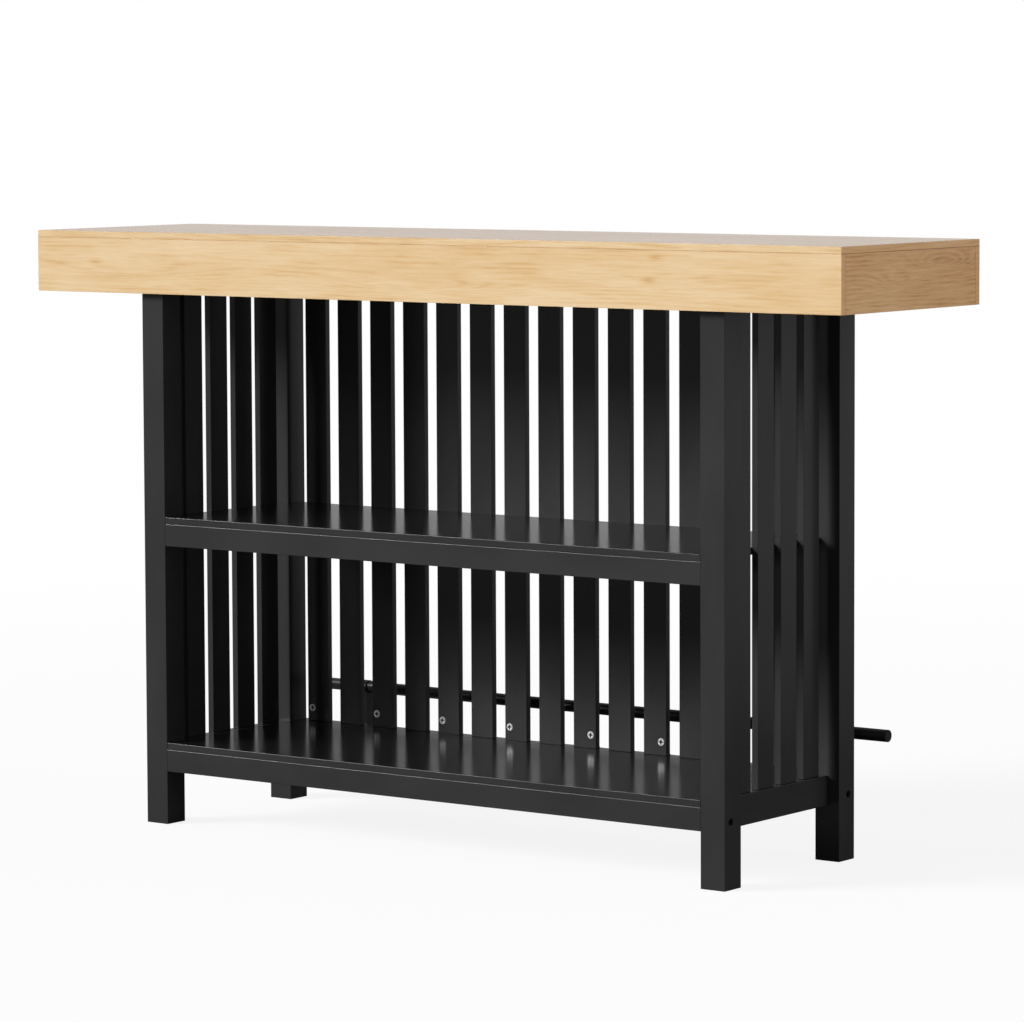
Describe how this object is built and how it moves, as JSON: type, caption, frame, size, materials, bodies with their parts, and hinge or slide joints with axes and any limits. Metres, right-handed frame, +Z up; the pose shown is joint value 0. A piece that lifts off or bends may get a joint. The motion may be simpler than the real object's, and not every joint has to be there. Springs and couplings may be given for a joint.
{
  "type": "bar table",
  "caption": "Bar table with a long oak-look box top on a black frame with square legs, storage shelves, a slatted back, slatted ends and a round foot rail behind.",
  "frame": {"origin": "on the floor, in the middle of the box around the whole table, foot rail included", "axes": "+X along the table to its right end, +Y from the open front to the foot rail, +Z up"},
  "size_m": [1.6, 0.5116, 0.99],
  "materials": {
    "oak": "pale oak, matt lacquer",
    "black_paint": "wood painted black, satin",
    "raw_wood": "plain sawn wood",
    "black_steel": "black powder coat, satin",
    "black_plastic": "black moulded plastic",
    "zinc_steel": "bright zinc plate",
    "dark_steel": "black oxide"
  },
  "bodies": {
    "root": {"top_panel": "oak", "front_apron": "oak", "rear_apron": "oak", "left_end_apron": "oak", "right_end_apron": "oak", "front_left_leg": "black_paint", "front_right_leg": "black_paint", "rear_left_leg": "black_paint", "rear_right_leg": "black_paint", "bottom_front_rail": "black_paint", "bottom_rear_rail": "black_paint", "mid_front_rail": "black_paint", "top_front_rail": "black_paint", "top_rear_rail": "black_paint", "bottom_left_rail": "black_paint", "bottom_right_rail": "black_paint", "top_left_rail": "black_paint", "top_right_rail": "black_paint", "mid_rear_batten": "black_paint", "back_slat_01": "black_paint", "back_slat_02": "black_paint", "back_slat_03": "black_paint", "back_slat_04": "black_paint", "back_slat_05": "black_paint", "back_slat_06": "black_paint", "back_slat_07": "black_paint", "back_slat_08": "black_paint", "back_slat_09": "black_paint", "back_slat_10": "black_paint", "back_slat_11": "black_paint", "back_slat_12": "black_paint", "back_slat_13": "black_paint", "back_slat_14": "black_paint", "back_slat_15": "black_paint", "left_slat_1": "black_paint", "left_slat_2": "black_paint", "left_slat_3": "black_paint", "left_slat_4": "black_paint", "right_slat_1": "black_paint", "right_slat_2": "black_paint", "right_slat_3": "black_paint", "right_slat_4": "black_paint", "bottom_shelf": "black_paint", "mid_shelf": "black_paint", "shelf_cleats": "black_paint", "corner_blocks": "raw_wood", "frame_dowels": "raw_wood", "slat_dowels": "raw_wood", "foot_rail_tube": "black_steel", "left_foot_bracket": "black_steel", "right_foot_bracket": "black_steel", "slat_clips": "black_steel", "foot_rail_plugs": "black_plastic", "slat_screws": "zinc_steel", "slat_nuts": "zinc_steel", "barrel_nuts": "zinc_steel", "top_screws": "zinc_steel", "frame_bolts": "dark_steel", "bracket_screws": "dark_steel"}
  },
  "joints": []
}
